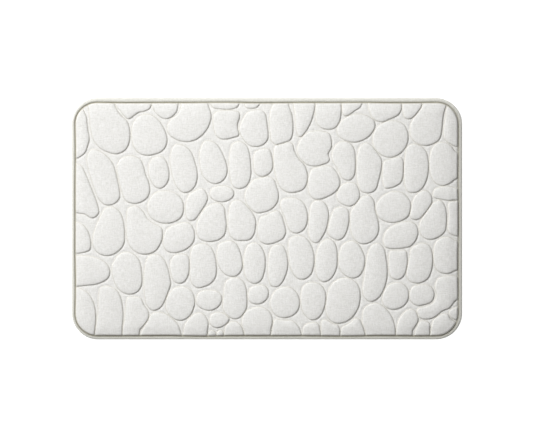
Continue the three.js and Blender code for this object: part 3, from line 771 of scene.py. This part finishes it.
# A close warp knit in a warm light grey, with the dull sheen of textured yarn. Its ribs run across the tape
# 1.4 mm apart, and its wales run along it. Yarn ends of about 1 mm give it a mottled look.
tape_shader.inputs["Sheen Weight"].default_value = 0.15
tape_shader.inputs["Sheen Roughness"].default_value = 0.5
tape_shader.inputs["Specular IOR Level"].default_value = 0.25
tape_uv = add_node(tape_cloth, "ShaderNodeTexCoord")
tape_mottle = add_node(tape_cloth, "ShaderNodeTexNoise", None, {
    "Vector": (tape_uv, "Object"), "Scale": 1 / (2.4 * MM), "Detail": 3.0, "Roughness": 0.6})
tape_ribs = add_node(tape_cloth, "ShaderNodeTexWave", {"wave_type": "BANDS", "bands_direction": "X"}, {
    "Vector": (tape_uv, "UV"), "Scale": band_scale(1.4 * MM), "Distortion": 0.8, "Detail": 2.0,
    "Detail Scale": 6.0})
tape_wales = add_node(tape_cloth, "ShaderNodeTexWave", {"wave_type": "BANDS", "bands_direction": "Y"}, {
    "Vector": (tape_uv, "UV"), "Scale": band_scale(0.9 * MM), "Distortion": 0.8, "Detail": 2.0,
    "Detail Scale": 6.0})
tape_weave = add_node(tape_cloth, "ShaderNodeMath", {"operation": "MULTIPLY"})
connect(tape_cloth, tape_ribs, "Fac", tape_weave, 0)
connect(tape_cloth, tape_wales, "Fac", tape_weave, 1)
tape_knit = add_node(tape_cloth, "ShaderNodeMath", {"operation": "MULTIPLY_ADD"})
connect(tape_cloth, tape_weave, 0, tape_knit, 0)
tape_knit.inputs[1].default_value = 0.35
connect(tape_cloth, tape_mottle, "Fac", tape_knit, 2)
tape_tone = two_tone(tape_cloth, (tape_knit, 0), "#d2d1c9", "#e6e5de", 0.38, 0.85)
# Painted shade: the tape's inner margin, down in the crease against the pile, is darkened towards its edge.
tape_v = add_node(tape_cloth, "ShaderNodeSeparateXYZ", None, {"Vector": (tape_uv, "UV")})
painted_margin_share = add_node(tape_cloth, "ShaderNodeMapRange", None, {
    "Value": (tape_v, "Y"), "From Min": across[-8], "From Max": across[-2]})
painted_margin_shade = add_node(tape_cloth, "ShaderNodeMix", {"data_type": "RGBA", "blend_type": "MULTIPLY"})
connect(tape_cloth, painted_margin_share, "Result", painted_margin_shade, "Factor")
connect(tape_cloth, tape_tone, "Color", painted_margin_shade, 6)
# The colour of the painted shade on the tape's inner margin.
painted_margin_shade.inputs[7].default_value = linear("#a5a398")
connect(tape_cloth, painted_margin_shade, 2, tape_shader, "Base Color")
relief_of(tape_cloth, tape_shader, (tape_knit, 0), 0.5, 0.45 * MM)
dress(binding, tape_cloth, "binding_tape", "edge_binding")


# ---- Seam: a lockstitch through the tape and every layer ----
# The needle thread lies in the channel on the face, the bobbin thread in the one on the back. Each stitch
# is about 3 mm long and dips into the tape at both ends.
def stitch_row(name, count, place):
    """One stitch, copied to each place: its centre and the direction it runs in."""
    start_piece()
    bpy.ops.mesh.primitive_uv_sphere_add(segments=6, ring_count=5, radius=0.5, rotation=(0, math.pi / 2, 0))
    row = bpy.context.object
    row.name = name
    bpy.ops.object.transform_apply(location=True, rotation=True, scale=True)
    one = np.array([v.co[:] for v in row.data.vertices]) * (STITCH["long"], STITCH["wide"], STITCH["deep"])
    faces = [tuple(f.vertices) for f in row.data.polygons]
    points, loops = [], []
    for k in range(count):
        (x, y, z), (dx, dy) = place(k)
        base = len(one) * k
        points.extend((x + p[0] * dx - p[1] * dy, y + p[0] * dy + p[1] * dx, z + p[2]) for p in one)
        loops.extend(tuple(base + i for i in face) for face in faces)
    row.data.clear_geometry()
    row.data.from_pydata(points, [], loops)
    bpy.ops.object.shade_smooth()
    return row


STITCH_COUNT = int(tape_length / STITCH["pitch"])
stitch_path, _ = outline_points(STITCH_COUNT)


def needle_place(k):
    x, y, nx, ny = stitch_path[k]
    _, seam = upper_seam(nx, ny, x, y)
    return (x - nx * seam, y - ny * seam, TAPE["high"] - TAPE["sink"] + 0.02 * MM), (-ny, nx)


def bobbin_place(k):
    x, y, nx, ny = stitch_path[k]
    _, seam = upper_seam(nx, ny, x, y)
    return (x - nx * seam, y - ny * seam, TAPE["low"] + TAPE["sink"] - 0.12 * MM), (-ny, nx)


spun_thread, thread_shader = new_material("spun_polyester_thread", Roughness=0.7)
# Three-ply spun thread. Its twist and loose fibres show as a fine unevenness of about 0.5 mm.
thread_place = add_node(spun_thread, "ShaderNodeTexCoord")
thread_twist = add_node(spun_thread, "ShaderNodeTexNoise", None, {
    "Vector": (thread_place, "Object"), "Scale": 1 / (0.5 * MM), "Detail": 1.0})
thread_tone = two_tone(spun_thread, (thread_twist, "Fac"), "#c4c2b8", "#dddbd3")
connect(spun_thread, thread_tone, "Color", thread_shader, "Base Color")
relief_of(spun_thread, thread_shader, (thread_twist, "Fac"), 0.3, 0.1 * MM)
for row_name, place, cad_node in (
    ("needle_stitches", needle_place, "needle_thread"),
    ("bobbin_stitches", bobbin_place, "bobbin_thread"),
):
    stitches = stitch_row(row_name, STITCH_COUNT, place)
    dress(stitches, spun_thread, "seam_thread", cad_node)


# ---- Care label: a blank satin ribbon caught under the tape on the back ----
# It is cut hot at its free end and its sides are woven. It leaves the seam against the backing cloth and
# then lies a little lower.
start_piece()
bpy.ops.mesh.primitive_grid_add(x_subdivisions=24, y_subdivisions=16, size=1)
label = bpy.context.object
label.name = "care_label_ribbon"
label_middle = (label_low.x + label_high.x) / 2
for vertex in label.data.vertices:
    along = vertex.co.y + 0.5
    across = vertex.co.x
    fall = LABEL["fall"] * float(ease(np.array(along / 0.45)))
    curl = LABEL["curl"] * math.sin(across * 7 + along * 4)
    vertex.co = (label_middle + across * LABEL["wide"], -WIDTH / 2 + LABEL["inset"] + along * LABEL["long"],
                 LABEL["high"] - fall + curl * along)
ribbon = label.modifiers.new("ribbon_thickness", "SOLIDIFY")
ribbon.thickness = LABEL["thick"]
ribbon.offset = -1
bpy.ops.object.modifier_apply(modifier=ribbon.name)
bpy.ops.object.shade_smooth_by_angle(angle=math.radians(40))
white_satin, satin_shader = new_material("woven_satin_ribbon", Roughness=0.45)
# Polyester satin: fine floats along the ribbon give it a soft streaky shine.
satin_place = add_node(white_satin, "ShaderNodeTexCoord")
satin_floats = add_node(white_satin, "ShaderNodeTexWave", {"wave_type": "BANDS", "bands_direction": "X"}, {
    "Vector": (satin_place, "Object"), "Scale": band_scale(0.6 * MM), "Distortion": 1.0})
satin_tone = two_tone(white_satin, (satin_floats, "Fac"), "#e6e6e3", "#f6f6f4")
connect(white_satin, satin_tone, "Color", satin_shader, "Base Color")
relief_of(white_satin, satin_shader, (satin_floats, "Fac"), 0.2, 0.08 * MM)
dress(label, white_satin, "label", "care_label")
